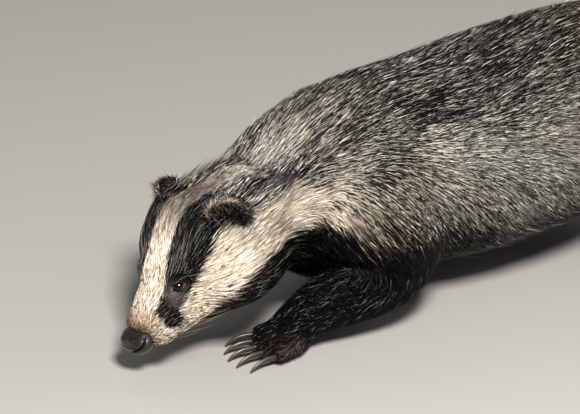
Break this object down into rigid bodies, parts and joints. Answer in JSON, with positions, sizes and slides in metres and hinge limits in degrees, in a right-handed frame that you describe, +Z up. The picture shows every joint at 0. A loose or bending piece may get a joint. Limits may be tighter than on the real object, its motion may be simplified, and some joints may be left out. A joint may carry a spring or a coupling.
{
  "type": "european badger",
  "caption": "Life-size model of a european badger that stands low, nose to the ground, one forepaw ahead, with a striped face and a coarse coat.",
  "frame": {"origin": "centre of the bounding box in X and Y, on the floor under the soles in Z", "axes": "-X the way the badger faces, -Y its left side, +Z up"},
  "size_m": [0.6622, 0.2166, 0.1898],
  "materials": {
    "white_fur": "short cream-white hair, matte",
    "grey_fur": "long grizzled grey hair, matte",
    "black_fur": "short black hair with a slight sheen",
    "nose_skin": "moist dark brown skin",
    "eye_glass": "wet gloss, near black",
    "paw_skin": "rough dark skin with horn claws"
  },
  "bodies": {
    "root": {"head": "white_fur", "nose": "nose_skin", "eye_left": "eye_glass", "eye_right": "eye_glass", "ear_left": "black_fur", "ear_right": "black_fur", "neck": "grey_fur", "torso": "grey_fur", "tail": "grey_fur", "foreleg_left": "black_fur", "foreleg_right": "black_fur", "hindleg_left": "black_fur", "hindleg_right": "black_fur", "forepaw_left": "paw_skin", "forepaw_right": "paw_skin", "hindpaw_left": "paw_skin", "hindpaw_right": "paw_skin"}
  },
  "joints": []
}
